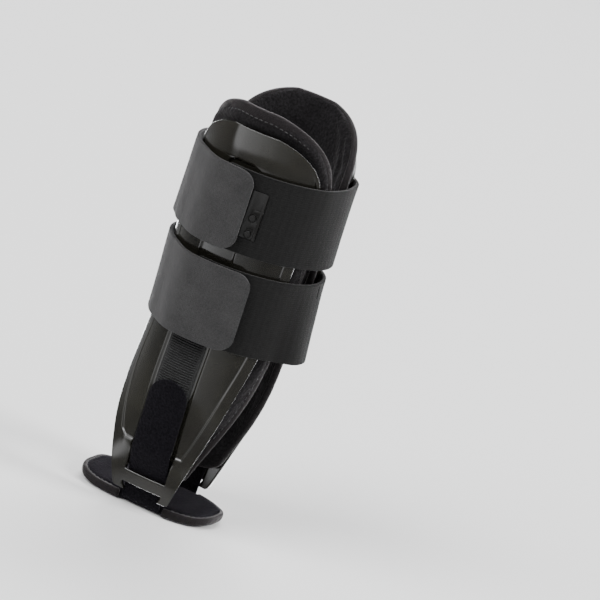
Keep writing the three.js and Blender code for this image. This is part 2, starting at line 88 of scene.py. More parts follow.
def profile(column):
    """A smooth curve through one column of STATIONS, flat beyond its ends."""
    knots, values = STATIONS[:, 0], STATIONS[:, column]
    slopes = np.gradient(values, knots)

    def at(z):
        z = np.clip(np.asarray(z, float), knots[0], knots[-1])
        i = np.clip(np.searchsorted(knots, z, side="right") - 1, 0, len(knots) - 2)
        span = knots[i + 1] - knots[i]
        t = (z - knots[i]) / span
        rise = values[i] * (1 + 2 * t) * (1 - t) ** 2 + values[i + 1] * t**2 * (3 - 2 * t)
        return rise + span * (slopes[i] * t * (1 - t) ** 2 - slopes[i + 1] * t**2 * (1 - t))

    return at


reach, front_axis, rear_axis, front_width, rear_width = (profile(column) for column in range(1, 6))


def girth(z, way):
    """The form's fore-and-aft half axis, to the front or, where way is negative, to the rear."""
    return np.where(np.asarray(way) < 0, rear_axis(z), front_axis(z))


def width(z, way):
    """The shells' half width, to the front or, where way is negative, to the rear."""
    return np.where(np.asarray(way) < 0, rear_width(z), front_width(z))


def form(side, angle, z, depth):
    """Points at angles round the form, at heights, so far in from the shells' outer surface."""
    angle, z, depth = np.broadcast_arrays(*(np.asarray(v, float) for v in (angle, z, depth)))
    sine = np.sin(angle)
    x = (girth(z, sine) - depth) * sine
    y = side * (reach(z) - depth) * np.cos(angle)
    return np.stack([x, y, z], -1) * MM


def angle_at(x, z):
    return np.arcsin(np.clip(x / girth(z, x), -1, 1))


def rounding(past, corner, power=2.6):
    """1 before a rounded corner, falling along it and stopping short of 0, which leaves a flat end."""
    longer = 1.026
    t = np.maximum(0, past) / (corner * longer)
    return (1 - t**power) ** (1 / power)


def node_span(node, axis=2):
    """Where a CAD node starts and ends along an axis, in millimetres."""
    low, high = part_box(node)
    return low[axis] / MM, high[axis] / MM


# ---------------------------------------------------------------- mesh helpers

def make_object(name, vertices, faces, uv=None):
    """A smooth-shaded mesh with its faces turned out. uv is one pair per vertex, in metres."""
    vertices = np.asarray(vertices, float).reshape(-1, 3)
    used = np.unique(np.concatenate([np.asarray(face) for face in faces]))
    new = np.full(len(vertices), -1)
    new[used] = np.arange(len(used))
    mesh = bpy.data.meshes.new(name)
    mesh.from_pydata(vertices[used].tolist(), [], [[int(new[v]) for v in face] for face in faces])
    work = bmesh.new()
    work.from_mesh(mesh)
    bmesh.ops.recalc_face_normals(work, faces=work.faces)
    work.to_mesh(mesh)
    work.free()
    if uv is not None:
        uv = np.asarray(uv, float).reshape(-1, 2)[used]
        layer = mesh.uv_layers.new(name="cloth")
        corners = np.empty(len(mesh.loops), int)
        mesh.loops.foreach_get("vertex_index", corners)
        layer.data.foreach_set("uv", uv[corners].ravel())
    mesh.shade_smooth()
    obj = bpy.data.objects.new(name, mesh)
    bpy.context.scene.collection.objects.link(obj)
    return obj


def sheet(name, outer, inner, uv=None, kept=None, square_ends=(False, False)):
    """A closed piece with an outer and an inner skin on one grid. kept marks the cells with material.
    A square end keeps its edge when the piece is subdivided, so that two pieces meet there."""
    rows, columns = outer.shape[:2]
    kept = np.ones((rows - 1, columns - 1), bool) if kept is None else kept
    index = np.arange(2 * rows * columns).reshape(2, rows, columns)
    faces = []
    for j, i in zip(*np.nonzero(kept)):
        ring = [(j, i), (j, i + 1), (j + 1, i + 1), (j + 1, i)]
        faces.append([index[0][at] for at in ring])
        faces.append([index[1][at] for at in reversed(ring)])
    around = np.pad(kept, 1)
    walls = [((j, i), (j + 1, i)) for j, i in zip(*np.nonzero(around[1:-1, 1:] != around[1:-1, :-1]))]
    walls += [((j, i), (j, i + 1)) for j, i in zip(*np.nonzero(around[1:, 1:-1] != around[:-1, 1:-1]))]
    for a, b in walls:
        faces.append([index[0][a], index[0][b], index[1][b], index[1][a]])
    if uv is not None:
        uv = np.stack([uv, uv])
    obj = make_object(name, np.stack([outer, inner]), faces, uv)
    for column, square in zip((0, -1), square_ends):
        if square:
            crease_edges(obj, np.vstack([outer[:, column], inner[:, column]]))
    return obj


def crease_edges(obj, points):
    """Keeps sharp the edges whose both ends are among some points."""
    mesh = obj.data
    keys = {tuple(np.round(p, 7)) for p in points}
    on_end = [tuple(np.round(v.co, 7)) in keys for v in mesh.vertices]
    crease = mesh.attributes.get("crease_edge") or mesh.attributes.new("crease_edge", "FLOAT", "EDGE")
    for edge in mesh.edges:
        if all(on_end[v] for v in edge.vertices):
            crease.data[edge.index].value = 1


def tube(name, sections, closed=True, uv=None):
    """A closed body through sections of points, either a ring or a length with capped ends."""
    count, around = sections.shape[:2]
    index = np.arange(count * around).reshape(count, around)
    faces = []
    for k in range(count if closed else count - 1):
        a, b = index[k], index[(k + 1) % count]
        for c in range(around):
            d = (c + 1) % around
            faces.append([a[c], a[d], b[d], b[c]])
    if not closed:
        faces += [list(index[0][::-1]), list(index[-1])]
    return make_object(name, sections, faces, uv)


def subdivide(obj, levels):
    modifier = obj.modifiers.new("Round", "SUBSURF")
    modifier.levels = levels
    modifier.render_levels = levels
    return obj


def bunched(low, high, count):
    """Values from low to high that bunch towards high, for the rows of a rounded end."""
    return mix(low, high, np.sin(np.linspace(0, math.pi / 2, count + 1)))


def paint(obj, material):
    """Gives a piece one of the MATERIALS."""
    obj.data.materials.clear()
    obj.data.materials.append(MATERIALS[material])


def dress(obj, material, body=None, blend=None, replaces=()):
    """Gives a piece its finish, hides the CAD nodes that it stands for, and ties it to the body it moves
    with, or, given a blend, only bakes its placement into its mesh.
    """
    paint(obj, material)
    if blend:
        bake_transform(obj)
    else:
        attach(obj, body)
    if replaces:
        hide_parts(*replaces)


# ---------------------------------------------------------------- materials

class Nodes:
    """A tree of shader nodes, added one by one."""

    def __init__(self, tree):
        self.tree = tree

    def add(self, kind, settings=None, **inputs):
        """A node with settings and with inputs by name, or by number after an underscore."""
        node = self.tree.nodes.new(kind)
        for key, value in (settings or {}).items():
            setattr(node, key, value)
        for key, value in inputs.items():
            self.join(value, node.inputs[int(key[1:]) if key.startswith("_") else key])
        return node

    def join(self, value, socket):
        if isinstance(value, bpy.types.NodeSocket):
            self.tree.links.new(value, socket)
        else:
            socket.default_value = value

    def math(self, operation, a, b=0.0):
        return self.add("ShaderNodeMath", {"operation": operation}, _0=a, _1=b).outputs[0]


class Material(Nodes):
    """A procedural material: a Principled surface and the nodes that vary it."""

    def __init__(self, name, color, roughness):
        self.material = bpy.data.materials.new(name)
        self.material.use_nodes = True
        super().__init__(self.material.node_tree)
        self.surface = self.tree.nodes["Principled BSDF"]
        self.set(**{"Base Color": (*color, 1), "Roughness": roughness})
        self.where = self.add("ShaderNodeTexCoord").outputs["Object"]

    def set(self, **inputs):
        for key, value in inputs.items():
            self.join(value, self.surface.inputs[key])

    def noise(self, size, detail=3.0):
        """Noise whose features are about size metres across."""
        inputs = {"Vector": self.where, "Scale": 1 / size, "Detail": detail}
        return self.add("ShaderNodeTexNoise", **inputs).outputs["Fac"]

    def cells(self, size):
        inputs = {"Vector": self.where, "Scale": 1 / size}
        return self.add("ShaderNodeTexVoronoi", **inputs).outputs["Distance"]

    def cloth(self):
        """The two lengths along and across a woven piece, in metres."""
        uv = self.add("ShaderNodeUVMap", {"uv_map": "cloth"}).outputs["UV"]
        split = self.add("ShaderNodeSeparateXYZ", Vector=uv)
        return split.outputs["X"], split.outputs["Y"]

    def wave(self, length, pitch):
        """A wave from 0 to 1: half its sine, plus the half that the last socket holds by itself."""
        turns = self.math("MULTIPLY", length, 2 * math.pi / pitch)
        return self.math("MULTIPLY_ADD", self.math("SINE", turns), 0.5)

    def ramp(self, value, low, high):
        inputs = {"Value": value, "From Min": 0.25, "From Max": 0.75, "To Min": low, "To Max": high}
        return self.add("ShaderNodeMapRange", **inputs).outputs["Result"]

    def vary_color(self, value, dark, light):
        """Colours from dark to light as value goes from 0.25 to 0.75."""
        share = self.ramp(value, 0.0, 1.0)
        node = self.add("ShaderNodeMix", {"data_type": "RGBA"}, Factor=share)
        node.inputs[6].default_value = (*dark, 1)
        node.inputs[7].default_value = (*light, 1)
        self.set(**{"Base Color": node.outputs[2]})

    def fuzz(self, sheen, roughness, tint, specular):
        """The light that a fabric's fibres catch, and the little that its surface mirrors."""
        self.set(**{"Sheen Weight": sheen, "Sheen Roughness": roughness, "Sheen Tint": (*tint, 1)})
        self.set(**{"Specular IOR Level": specular})

    def bump(self, *layers):
        """Adds heights one over another; each layer is (value, height in metres)."""
        normal = None
        for value, distance in layers:
            inputs = {"Height": value, "Distance": distance, "Strength": 1.0}
            if normal is not None:
                inputs["Normal"] = normal
            normal = self.add("ShaderNodeBump", **inputs).outputs["Normal"]
        self.set(Normal=normal)


def shell_plastic():
    m = Material("smoky_moulded_plastic", (0.012, 0.011, 0.009), 0.1)
    m.vary_color(m.noise(0.035, 2.0), (0.009, 0.0085, 0.007), (0.018, 0.017, 0.013))
    m.set(Roughness=m.ramp(m.noise(0.02, 2.0), 0.08, 0.12))
    m.set(IOR=1.5)
    m.bump((m.noise(0.03, 1.0), 0.0001))
    return m.material


def clip_plastic():
    m = Material("satin_moulded_plastic", (0.007, 0.0066, 0.006), 0.32)
    m.set(**{"Specular IOR Level": 0.3})
    m.set(Roughness=m.ramp(m.noise(0.004, 3.0), 0.14, 0.24))
    m.bump((m.noise(0.008, 1.0), 0.00004))
    return m.material


def strap_loop():
    """Napped loop webbing: a felt-like face over a fine weave."""
    m = Material("charcoal_loop_webbing", (0.03, 0.03, 0.031), 0.9)
    along, across = m.cloth()
    weave = m.math("MULTIPLY", m.wave(along, 0.0011), m.wave(across, 0.0011))
    nap = m.noise(0.0009, 6.0)
    patches = m.noise(0.012, 3.0)
    shade = m.math("ADD", m.math("MULTIPLY", nap, 0.65), m.math("MULTIPLY", patches, 0.35))
    m.vary_color(shade, (0.024, 0.0238, 0.0242), (0.05, 0.0493, 0.0498))
    m.fuzz(0.12, 0.5, (0.85, 0.84, 0.85), specular=0.02)
    m.bump((nap, 0.0003), (weave, 0.00012), (patches, 0.0006))
    return m.material


def knit_with_painted_shade():
    """The webbing's other face: a flatter knit with faint bands across its length. Its colour is darker
    than the loop webbing's as painted shade on the strap's front lengths.
    """
    m = Material("knit_webbing_with_painted_shade", (0.012, 0.012, 0.012), 0.85)
    along, across = m.cloth()
    bands = m.wave(along, 0.0045)
    nap = m.noise(0.0008, 5.0)
    shade = m.math("ADD", m.math("MULTIPLY", nap, 0.92), m.math("MULTIPLY", bands, 0.08))
    # These colours are darker than the loop webbing's: painted shade on the front of the strap.
    m.vary_color(shade, (0.0065, 0.0065, 0.0065), (0.0135, 0.0135, 0.0133))
    m.fuzz(0.1, 0.5, (0.86, 0.85, 0.85), specular=0.02)
    m.bump((nap, 0.00025), (bands, 0.00003), (m.wave(across, 0.0013), 0.00008))
    return m.material


def heel_loop():
    """Deep-pile loop fabric, of the stirrup strap and the heel pad."""
    m = Material("black_loop_tape", (0.006, 0.0055, 0.0065), 0.95)
    pile = m.noise(0.0011, 7.0)
    tufts = m.cells(0.0016)
    m.vary_color(pile, (0.0015, 0.0014, 0.0019), (0.0085, 0.0078, 0.0098))
    m.fuzz(0.03, 0.6, (0.8, 0.76, 0.85), specular=0.01)
    m.bump((pile, 0.0006), (tufts, 0.0004))
    return m.material


def liner_loop():
    m = Material("brushed_liner_fabric", (0.008, 0.0075, 0.008), 0.95)
    pile = m.noise(0.0014, 7.0)
    tufts = m.cells(0.0022)
    m.vary_color(pile, (0.004, 0.0038, 0.004), (0.016, 0.015, 0.016))
    m.fuzz(0.08, 0.6, (0.85, 0.82, 0.84), specular=0.015)
    m.bump((m.noise(0.006, 2.0), 0.0006), (pile, 0.0006), (tufts, 0.0004))
    return m.material


def binding_tape():
    """Edge tape: a fine twill with a slight sheen."""
    m = Material("woven_edge_tape", (0.014, 0.0125, 0.013), 0.7)
    along, across = m.cloth()
    twill = m.wave(m.math("ADD", along, across), 0.0013)
    fibres = m.noise(0.0008, 4.0)
    m.vary_color(fibres, (0.0095, 0.0085, 0.009), (0.021, 0.019, 0.0195))
    m.fuzz(0.15, 0.4, (0.9, 0.86, 0.86), specular=0.03)
    m.bump((twill, 0.00012), (fibres, 0.0002), (m.noise(0.007, 1.0), 0.0005))
    return m.material


def hook_tape():
    """Woven hook tape: stiff bristles on a ribbed base."""
    m = Material("ribbed_hook_tape", (0.03, 0.03, 0.03), 0.55)
    bristles = m.cells(0.0007)
    fibres = m.noise(0.0007, 3.0)
    m.vary_color(fibres, (0.012, 0.012, 0.0122), (0.036, 0.036, 0.036))
    m.set(**{"Specular IOR Level": 0.06})
    m.bump((bristles, 0.0002), (fibres, 0.0001))
    return m.material


def thread():
    m = Material("sewing_thread", (0.01, 0.0092, 0.0096), 0.7)
    m.bump((m.noise(0.0005, 2.0), 0.0001))
    return m.material


MATERIALS = {
    "shell": shell_plastic(),
    "clip": clip_plastic(),
    "rivet": clip_plastic(),
    "strap": strap_loop(),
    # The knit's darker colour is painted shade on the strap's front lengths.
    "knit_with_painted_shade": knit_with_painted_shade(),
    "heel_strap": heel_loop(),
    "heel_pad": heel_loop(),
    "liner": liner_loop(),
    "binding": binding_tape(),
    "hook": hook_tape(),
    "thread": thread(),
}


# ---------------------------------------------------------------- shells

SHELL = {"shoulder": 218, "top": 252, "wall": 2.8, "rim": 7.5, "rim_at_top": 3}
PANEL = {"low": 41, "fade": (224, 242), "depth": 1.0, "step": 0.55, "thicker": 0.4, "corner": 5}
CHANNEL = {
    "half": 13.8, "half_at_top": 10.8, "narrow": (110, 172),
    "low": 36, "high": 232, "depth": 2.2, "step": 1.2, "wall": 1.8, "corner": 6,
}
WINDOW = (22.5, 38)
NOTCH = {"high": 14, "mouth": 10.5, "mouth_half": 12}


def rounded_step(past, corner):
    """How far a rounded corner has come in, past its start."""
    t = np.clip(past, 0, corner)
    return corner - np.sqrt(corner**2 - t**2)


def shell_width(z, way):
    foot_corner = rounded_step(2 - (z - STATIONS[0][0]), 2)
    shoulder = rounding(z - SHELL["shoulder"], SHELL["top"] - SHELL["shoulder"])
    return width(z, way) * shoulder - foot_corner


def shell_columns(z, way):
    """The grid's columns at one height, from the middle to the front or rear edge, as angles."""
    g = girth(z, way)
    at = lambda x: np.arcsin(x / g)
    half = shell_width(z, way)
    foot = mix(CHANNEL["half"], CHANNEL["half_at_top"], smoothstep(z, *CHANNEL["narrow"]))
    foot -= rounded_step(z - (CHANNEL["high"] - CHANNEL["corner"]), CHANNEL["corner"])
    if z <= NOTCH["mouth"]:
        foot = NOTCH["mouth_half"]
    # Near the rounded top, shares of the half width and of the span keep the columns in order.
    foot = min(foot, 0.66 * half)
    head = min(foot + CHANNEL["step"], 0.72 * half)
    edge = at(half)
    span = edge - at(head)
    rim_width = mix(SHELL["rim"], SHELL["rim_at_top"], smoothstep(z, 180, SHELL["shoulder"]))
    corner = rounded_step(PANEL["corner"] - (z - PANEL["low"] - 1), PANEL["corner"])
    rim = edge - min((rim_width + corner) / g, 0.62 * span)
    panel = rim - min(PANEL["step"] / g, 0.08 * span)
    near = min(0.5 / g, 0.05 * span)
    middle = np.array([0, 0.35, 0.7, 1]) * at(foot - 0.8)
    between = np.linspace(at(head) + near, panel - near, 6)
    outside = [panel, rim, rim + near, mix(rim, edge, 0.55), edge - near, edge]
    return np.concatenate([middle, [at(foot), at(head)], between, outside])


def shell(side, word):
    """A moulded shell; its rows crowd where its outline or its depth turns."""
    low, high = node_span(f"{word}_shell")
    zs = np.concatenate([
        [low, low + 0.7, low + 1.5, NOTCH["mouth"] + 1, NOTCH["high"] - 0.7, NOTCH["high"]],
        [NOTCH["high"] + 0.8, 18.2, WINDOW[0] - 0.8, WINDOW[0], WINDOW[0] + 0.8],
        np.linspace(26.5, CHANNEL["low"], 3),
        [CHANNEL["low"] + 1, WINDOW[1], WINDOW[1] + 0.7, PANEL["low"] - 0.8, PANEL["low"]],
        PANEL["low"] + np.array([1, 1.7, 3, 4.5, 6]),
        np.linspace(53, CHANNEL["high"] - 7, 27),
        CHANNEL["high"] - np.array([4.5, 3, 1.8, 1, 0]),
        [CHANNEL["high"] + 0.8],
        bunched(236, high, 9),
    ])
    front, rear = (np.array([shell_columns(z, way) for z in zs]) for way in (1, -1))
    angles = np.concatenate([-rear[:, :0:-1], front], axis=1)
    centre = front.shape[1] - 1
    column = np.abs(np.arange(angles.shape[1]) - centre)
    channel_foot, panel_edge = 4, 12  # these columns from the middle
    z = np.broadcast_to(zs[:, None], angles.shape)
    in_channel = (column <= channel_foot) * smoothstep(z, CHANNEL["low"], CHANNEL["low"] + 1)
    in_channel = in_channel * (1 - smoothstep(z, CHANNEL["high"] - 1, CHANNEL["high"]))
    in_panel = (column <= panel_edge) * smoothstep(z, PANEL["low"], PANEL["low"] + 1)
    in_panel = in_panel * (1 - smoothstep(z, *PANEL["fade"]))
    outer_depth = np.maximum(PANEL["depth"] * in_panel, CHANNEL["depth"] * in_channel)
    panel_wall = SHELL["wall"] + PANEL["thicker"] * in_panel
    inner_depth = mix(panel_wall, CHANNEL["depth"] + CHANNEL["wall"], in_channel)
    kept = np.ones((len(zs) - 1, angles.shape[1] - 1), bool)
    middle_z = (zs[1:] + zs[:-1]) / 2
    open_rows = (middle_z < NOTCH["high"]) | ((middle_z > WINDOW[0]) & (middle_z < WINDOW[1]))
    kept[open_rows, centre - channel_foot:centre + channel_foot] = False
    outer = form(side, angles, z, outer_depth)
    obj = sheet(f"{word}_shell_moulding", outer, form(side, angles, z, inner_depth), kept=kept)
    subdivide(obj, 2)
    dress(obj, "shell", f"{word}_side", replaces=[f"{word}_shell"])


def hook_strip(side, word):
    """Ribbed tape on the channel's floor, with plain selvedges."""
    node = f"{word}_hook_strip"
    low, high = node_span(node)
    pitch, valley, crest, floor = 1.5, 1.6, 0.55, 2.12
    rib = np.array([0.08, 0.24, 0.7, 0.86])  # where one rises and falls, in shares of its pitch
    selvedge = 0.45  # its height, as a share of a rib's
    ribs = int((high - low) / pitch)
    steps = (np.arange(ribs)[:, None] + rib).ravel() * (high - low) / ribs
    zs = np.concatenate([[low], low + steps, [high]])
    lift = np.concatenate([[0.0], np.tile([0.0, 1.0, 1.0, 0.0], ribs), [0.0]])
    half = [0, 3, 6, 9, 10.4, 10.9, 12.1, 12.5]
    xs = np.array([-x for x in half[:0:-1]] + half)
    ribbed = (np.abs(xs) < 10.6).astype(float)
    height = mix(selvedge, lift[:, None], ribbed[None, :])
    angles = angle_at(xs[None, :], zs[:, None])
    outer = form(side, angles, zs[:, None], mix(valley, crest, height))
    inner = form(side, angles, zs[:, None], floor)
    obj = subdivide(sheet(f"{word}_hook_tape", outer, inner), 1)
    dress(obj, "hook", f"{word}_side", replaces=[node])


# ---------------------------------------------------------------- liners

LINER = {
    "top_corner": 43, "low_corner": 9, "low_margin": 3, "margins": {1: 18, -1: 12}, "margin_rows": (22, 95),
    "outer": 6.4, "inner": 12.5, "edge_outer": 7.6, "edge_inner": 9.8, "puff": 12,
    "curl": 2.4, "curl_rows": (60, 110), "curl_fade": (9, 19), "lean": 4.5, "lean_rows": (190, 256),
    "limits": (4.8, 14.6),
}
BINDING = {"width": 7.9, "outer": 6.3, "inner": 11.1, "seam": 1.5, "around": 16}


def curl(z):
    """How far the liner's edges stand out past the shell's edges."""
    return LINER["curl"] * smoothstep(z, *LINER["curl_rows"])


def liner_middle(z):
    """The angle of a liner's middle line, which leans back towards the top."""
    return -LINER["lean"] * smoothstep(z, *LINER["lean_rows"]) / girth(z, -1)


def liner_rows(inset):
    """Heights, front angles and rear angles of a liner's outline drawn in by some distance."""
    low, high = node_span("lateral_liner_binding")
    low, high = low + inset, high - inset
    top_corner = LINER["top_corner"] - inset
    z = np.concatenate([
        low + LINER["low_corner"] - bunched(0, LINER["low_corner"], 6)[::-1],
        np.linspace(low + LINER["low_corner"], high - top_corner, 40)[1:-1],
        bunched(high - top_corner, high, 16),
    ])
    ends = rounding(z - (high - top_corner), top_corner, 2)
    ends = ends * rounding(low + LINER["low_corner"] - z, LINER["low_corner"])
    edges = []
    for way, full in LINER["margins"].items():
        margin = mix(LINER["low_margin"], full, smoothstep(z, *LINER["margin_rows"]))
        half = np.arcsin(width(z, way) / girth(z, way)) + (margin - inset) / girth(z, way)
        edges.append(liner_middle(z) + way * half * ends)
    return z, *edges


def liner_loop_points(inset, flat=8):
    """The outline as one closed loop of (angle, height), from the bottom up the front."""
    z, front, rear = liner_rows(inset)
    share = np.linspace(0, 1, flat + 1)[1:-1]
    bottom = np.stack([mix(rear[0], front[0], share), np.full(flat - 1, z[0])], -1)
    top = np.stack([mix(front[-1], rear[-1], share), np.full(flat - 1, z[-1])], -1)
    return np.concatenate([bottom, np.stack([front, z], -1), top, np.stack([rear, z], -1)[::-1]])


def dome(to_edge, span):
    """A padded piece's swelling: 0 at its edge, rising along a quarter circle to 1."""
    return np.sqrt(1 - (1 - np.clip(to_edge / span, 0, 1)) ** 2)


def liner_pad(side, word):
    """The padded part of a liner: a crowned pad, puffed out between its bound edges."""
    z, front, rear = liner_rows(1.0)
    across = np.linspace(-1, 1, 31)
    edge = np.where(across[None, :] < 0, rear[:, None], front[:, None])
    middle = liner_middle(z)[:, None]
    angles = mix(middle, edge, np.abs(across)[None, :])
    z = np.broadcast_to(z[:, None], angles.shape)
    to_side = (1 - np.abs(across))[None, :] * np.abs(edge - middle) * girth(z, edge)
    to_end = np.minimum(z - z[0, 0], z[-1, 0] - z)
    to_edge = np.minimum(to_side, to_end)
    puff = dome(to_edge, LINER["puff"])
    at_edge = curl(z)
    stand_out = at_edge * (1 - smoothstep(to_edge, *LINER["curl_fade"]))
    outer = form(side, angles, z, mix(LINER["edge_outer"] - at_edge, LINER["outer"] - stand_out, puff))
    inner = form(side, angles, z, mix(LINER["edge_inner"] - at_edge, LINER["inner"] - stand_out / 2, puff))
    uv = np.stack([angles * girth(z, edge) * MM, z * MM], -1)
    obj = sheet(f"{word}_liner_pad", outer, inner, uv)
    bound = np.stack([to_edge < BINDING["width"] - BINDING["seam"]] * 2).ravel()
    puff_up(obj, bound, pressure=6.0, slack=0.035, most=2.2)
    keep_clear(obj, side)
    subdivide(obj, 1)
    replaced = [f"{word}_liner_{layer}" for layer in ("back", "foam", "face")]
    dress(obj, "liner", f"{word}_side", replaces=replaced)


def keep_clear(obj, side):
    """Holds a liner's vertices inside the shell, and between two depths of the form."""
    shallow, deep = LINER["limits"]
    points = np.array([v.co for v in obj.data.vertices]) / MM
    x, y, z = points.T
    angle = np.arctan2(x / girth(z, x), side * y / reach(z))
    shell_edge = np.arcsin(shell_width(np.minimum(z, SHELL["top"]), x) / girth(z, x))
    past_edge = (np.abs(angle) - shell_edge) * girth(z, x)
    shallow = shallow - curl(z) * smoothstep(past_edge, 0.5, 4)
    outward = np.hypot(x, y)
    limits = [np.linalg.norm(form(side, angle, z, depth)[:, :2], axis=1) / MM for depth in (shallow, deep)]
    points[:, :2] *= (np.clip(outward, limits[1], limits[0]) / outward)[:, None]
    obj.data.vertices.foreach_set("co", (points * MM).ravel())
    obj.data.update()


def puff_up(obj, pinned, pressure, slack, most):
    """Swells a closed piece by cloth simulation. Pinned vertices stay, and none moves more than most mm.
    slack is how much bigger than its start the cloth is, which lets it wrinkle."""
    start = np.array([v.co for v in obj.data.vertices])
    group = obj.vertex_groups.new(name="seam")
    group.add([int(i) for i in np.nonzero(pinned)[0]], 1.0, "REPLACE")
    cloth = obj.modifiers.new("Cloth", "CLOTH")
    settings = cloth.settings
    settings.quality = 6
    settings.mass = 0.15
    settings.tension_stiffness = settings.compression_stiffness = 12
    settings.shear_stiffness = 6
    settings.bending_stiffness = 0.4
    settings.use_pressure = True
    settings.uniform_pressure_force = pressure
    settings.shrink_min = -slack
    settings.vertex_group_mass = "seam"
    settings.effector_weights.gravity = 0
    cloth.collision_settings.use_collision = False
    scene = bpy.context.scene
    last = 20
    cloth.point_cache.frame_start = 1
    cloth.point_cache.frame_end = last
    for number in range(1, last + 1):
        scene.frame_set(number)
    evaluated = obj.evaluated_get(bpy.context.evaluated_depsgraph_get())
    end = np.array([v.co for v in evaluated.data.vertices])
    obj.modifiers.remove(cloth)
    obj.vertex_groups.clear()
    scene.frame_set(1)
    move = end - start
    length = np.linalg.norm(move, axis=1, keepdims=True)
    limit = most * MM
    move *= np.where(length > 0, limit * np.tanh(length / limit) / np.maximum(length, 1e-9), 0)
    obj.data.vertices.foreach_set("co", (start + move).ravel())
    obj.data.update()


def oval(count, power=2.6):
    """Points of a rounded section, as pairs from -1 to 1."""
    t = np.linspace(0, 2 * math.pi, count, endpoint=False)
    c, s = np.cos(t), np.sin(t)
    return np.sign(c) * np.abs(c) ** (2 / power), np.sign(s) * np.abs(s) ** (2 / power)


def loop_lengths(points):
    """How far along a closed loop each of its points lies, and the whole loop's length."""
    steps = np.linalg.norm(np.roll(points, -1, 0) - points, axis=1)
    return np.concatenate([[0], np.cumsum(steps)])


def tape_uv(along, around, count):
    """Lengths along a tape, which are in metres, and round its section, which is so many mm in all."""
    round_section = np.linspace(0, around * MM, count)
    return np.stack(np.broadcast_arrays(along[:, None], round_section[None, :]), -1)


def liner_binding(side, word):
    """The tape folded round a liner's edge, and a row of stitches on either face."""
    outside, inside = liner_loop_points(0), liner_loop_points(BINDING["width"])
    across, out = oval(14)
    share = (across + 1) / 2
    angle = mix(outside[:, :1], inside[:, :1], share)
    z = mix(outside[:, 1:], inside[:, 1:], share)
    middle = (BINDING["outer"] + BINDING["inner"]) / 2
    swell = 1 + 0.05 * np.sin(np.arange(len(outside)) * 2.4)
    depth = middle - out[None, :] * swell[:, None] * (BINDING["inner"] - BINDING["outer"]) / 2 - curl(z)
    sections = form(side, angle, z, depth)
    along = loop_lengths(form(side, outside[:, 0], outside[:, 1], middle))[:-1]
    uv = tape_uv(along, BINDING["around"], len(across))
    obj = subdivide(tube(f"{word}_liner_edge_tape", sections, uv=uv), 1)
    dress(obj, "binding", f"{word}_side", replaces=[f"{word}_liner_binding"])
    seam = liner_loop_points(BINDING["width"] - BINDING["seam"])
    for face, proud in (("outer", -0.05), ("inner", 0.05)):
        depth = BINDING[face] + proud - curl(seam[:, 1])
        path = form(side, seam[:, 0], seam[:, 1], depth)
        normal = form(side, seam[:, 0], seam[:, 1], depth - 1) - path
        name = f"{word}_liner_{face}_stitches"
        dress(stitches(name, path, normal), "thread", f"{word}_side")


def stitches(name, path, normal, closed=True, length=2.3, pitch=3.4, radius=0.33):
    """A row of stitches along a path, as small rounded bars that lie on the cloth."""
    lengths = loop_lengths(path) if closed else loop_lengths(path)[:-1]
    points = np.vstack([path, path[:1]]) if closed else path
    normals = np.vstack([normal, normal[:1]]) if closed else normal
    total = lengths[-1]
    count = int(total / (pitch * MM))
    at = (np.arange(count) + 0.5) * total / count
    sample = lambda s, values: np.stack([np.interp(s, lengths, values[:, k]) for k in range(3)], -1)
    unit = lambda v: v / np.linalg.norm(v, axis=-1, keepdims=True)
    reach_along = np.array([-1, -0.8, 0, 0.8, 1]) * length / 2 * MM
    fat = np.array([0.25, 0.75, 1, 0.75, 0.25]) * radius * MM
    sink = np.array([-1.2, -0.3, 0.2, -0.3, -1.2])[:, None] * radius * MM
    rings, around = len(fat), 6
    turn = np.linspace(0, 2 * math.pi, around, endpoint=False)[None, :, None]
    vertices, faces = [], []
    for number, s in enumerate(at):
        centre = sample(np.clip(s + reach_along, 0, total), points)
        up = unit(sample(np.full(rings, s), normals))
        tangent = unit(np.broadcast_to(centre[-1] - centre[0], centre.shape))
        sideways = np.cross(tangent, up)
        spokes = np.cos(turn) * sideways[:, None] + 0.8 * np.sin(turn) * up[:, None]
        bar = (centre + up * sink)[:, None] + fat[:, None, None] * spokes
        vertices.append(bar.reshape(-1, 3))
        index = number * rings * around + np.arange(rings * around).reshape(rings, around)
        for a, b in zip(index, index[1:]):
            for c in range(around):
                d = (c + 1) % around
                faces.append([a[c], a[d], b[d], b[c]])
        faces += [list(index[0][::-1]), list(index[-1])]
    return make_object(name, np.vstack(vertices), faces)


# ---------------------------------------------------------------- leg straps

STRAP = {
    "width": 51, "web": 2.4, "lift": 0.4, "tab_lift": 4.6, "start": -8, "corner": 9, "side": 0.88,
    "grid": 2.4, "radius": 50,
}
STRAPS = {
    "upper": {"tab_end": 10.3, "clip_end": 19.4, "front": (51.8, 48.8), "rear": (46.8, 46.4)},
    "lower": {"tab_end": 24.6, "clip_end": 22.2, "front": (56.2, 50.2), "rear": (41.8, 44.2)},
}
CLIMB = (-44, -14)  # the tab rises over its strap's start between these angles short of a full turn
CLIP_OPENING = {"half": 15.3, "gap": 0.3}
# Where each length after the anchor starts, in degrees round the leg.
CUTS = {"front": 90, "medial": 180, "rear": 270, "root": 318.5}
# Where each hinge's bend starts and ends, in degrees round the leg.
BENDS = {"front": (54, 82), "medial": (106, 139), "rear": (222, 254), "root": (286, 315), "tab": (321, 347)}
# Each length's CAD nodes and finish: the knit of the first lengths is sewn to loop webbing behind the leg,
# and the knit's darker colour is painted shade.
WEBBING = {
    "anchor": (["start"], "knit_with_painted_shade"),
    "front": (["front"], "knit_with_painted_shade"),
    "medial": (["medial"], "knit_with_painted_shade"),
    "rear": (["rear"], "strap"),
    "tab": (["root", "tab"], "strap"),
}
# The grid's rows across the webbing, close together at its edges.
EDGE_ROWS = [0, 0.8, 2.2, 6]
WEB_ROWS = np.array(EDGE_ROWS + [12, 19, 25.5, 32, 39, 45, 48.8, 50.2, 51])


